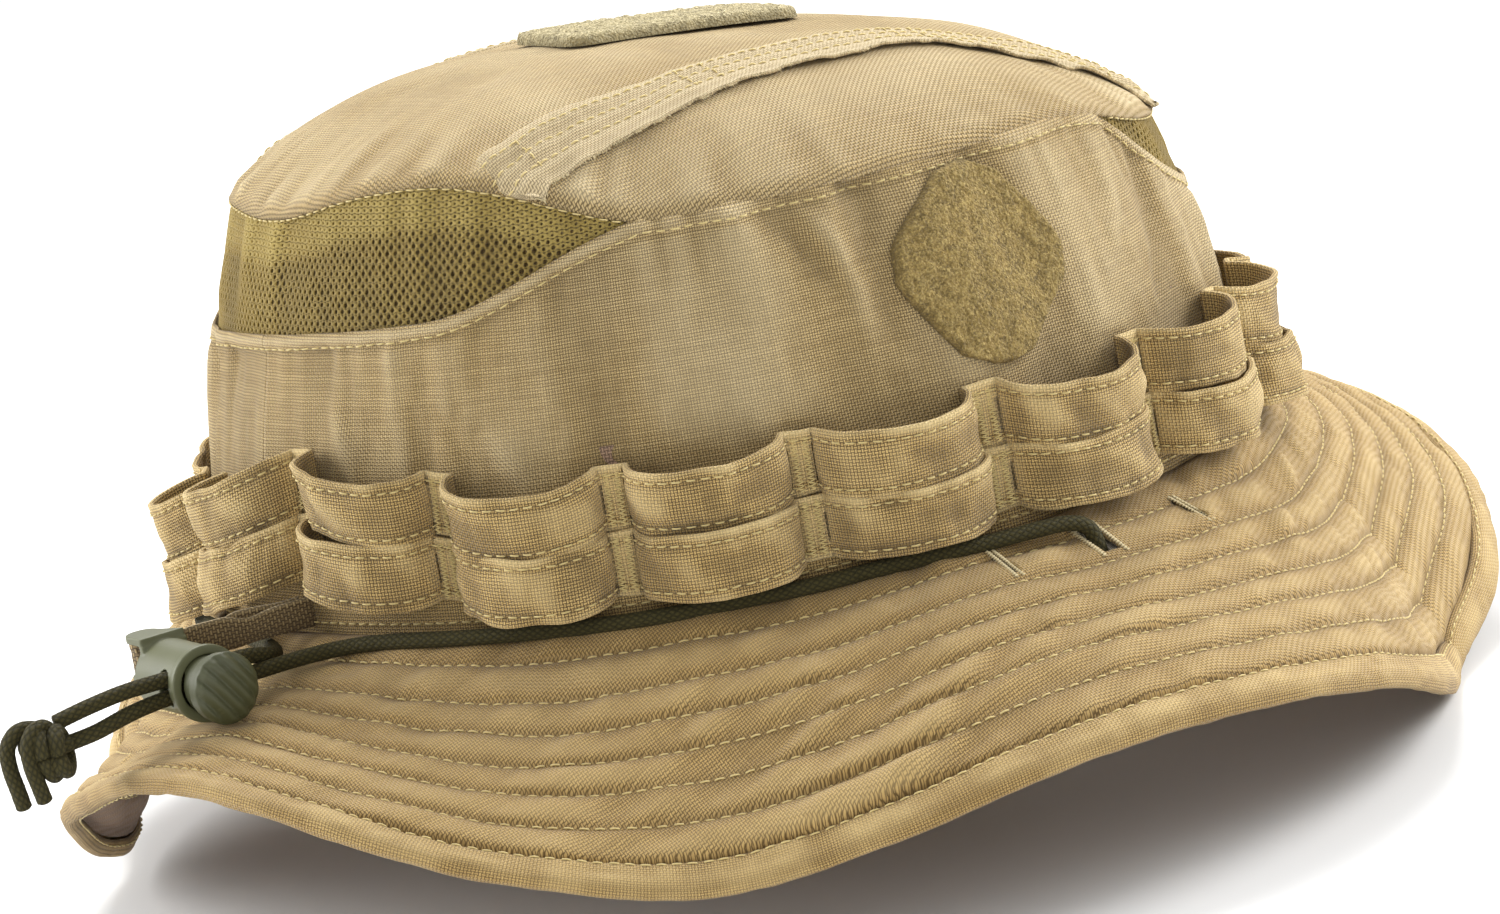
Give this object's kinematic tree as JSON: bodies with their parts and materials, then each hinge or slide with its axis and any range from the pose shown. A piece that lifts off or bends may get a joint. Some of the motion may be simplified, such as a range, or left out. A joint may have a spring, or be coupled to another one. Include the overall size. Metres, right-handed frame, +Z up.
{
  "type": "boonie hat",
  "caption": "Soft brimmed hat with mesh crown vents, foliage loops, loop-pile patches and a drawcord held by a sprung cord lock.",
  "frame": {"origin": "bottom centre of the box of the hat as it stands on its brim", "axes": "+X to the front of the hat, +Y to the wearer's left, +Z up"},
  "size_m": [0.328, 0.2928, 0.1501],
  "materials": {
    "crown_cloth": "matte plain weave",
    "strap_cloth": "matte plain weave",
    "brim_cloth": "matte plain weave",
    "binding_cloth": "matte plain weave",
    "tape_cloth": "matte plain weave tape",
    "mesh": "open knitted mesh",
    "loop_pile": "fuzzy loop pile",
    "thread": "spun polyester thread",
    "under_cloth": "matte plain weave",
    "sweatband_cloth": "matte tape",
    "interlining": "stiff non-woven",
    "cord": "braided",
    "webbing": "ribbed webbing",
    "lock_plastic": "moulded, fine texture",
    "plunger_plastic": "moulded, fine texture",
    "spring_steel": "drawn wire"
  },
  "bodies": {
    "hat": {"crown_top_centre": "crown_cloth", "crown_top_right": "crown_cloth", "crown_top_left": "crown_cloth", "top_strap_right": "strap_cloth", "top_strap_left": "strap_cloth", "side_panel_right": "crown_cloth", "side_panel_left": "crown_cloth", "rear_mesh_vent": "mesh", "front_mesh_vent": "mesh", "top_patch": "loop_pile", "side_patch": "loop_pile", "base_band": "tape_cloth", "sweatband": "sweatband_cloth", "foliage_upper_front": "tape_cloth", "foliage_upper_front_left": "tape_cloth", "foliage_upper_rear_left": "tape_cloth", "foliage_upper_rear": "tape_cloth", "foliage_upper_rear_right": "tape_cloth", "foliage_upper_front_right": "tape_cloth", "foliage_lower_front": "tape_cloth", "foliage_lower_front_left": "tape_cloth", "foliage_lower_rear_left": "tape_cloth", "foliage_lower_rear": "tape_cloth", "foliage_lower_rear_right": "tape_cloth", "foliage_lower_front_right": "tape_cloth", "loop_bartacks": "thread", "brim_top_fabric": "brim_cloth", "brim_interlining": "interlining", "brim_under_fabric": "under_cloth", "brim_edge_binding": "binding_cloth", "buttonhole_stitching": "thread", "drawcord_right": "cord", "drawcord_left": "cord", "stopper_knot_right": "cord", "stopper_knot_left": "cord", "webbing_tab": "webbing", "lock_housing": "lock_plastic", "lock_spring": "spring_steel"},
    "plunger": {"lock_plunger": "plunger_plastic"},
    "cord_tails": {"cord_tail_upper": "cord", "cord_tail_lower": "cord", "tail_knot": "cord"}
  },
  "joints": [
    {"name": "plunger_press", "type": "slide", "parent": "hat", "child": "plunger", "axis": [0, 1, 0], "range_m": [0, 0.0035], "stiffness_N_per_m": 1200, "springref_m": -0.002},
    {"name": "cord_pull", "type": "slide", "parent": "hat", "child": "cord_tails", "axis": [-1, 0, 0], "range_m": [0, 0.012]}
  ]
}
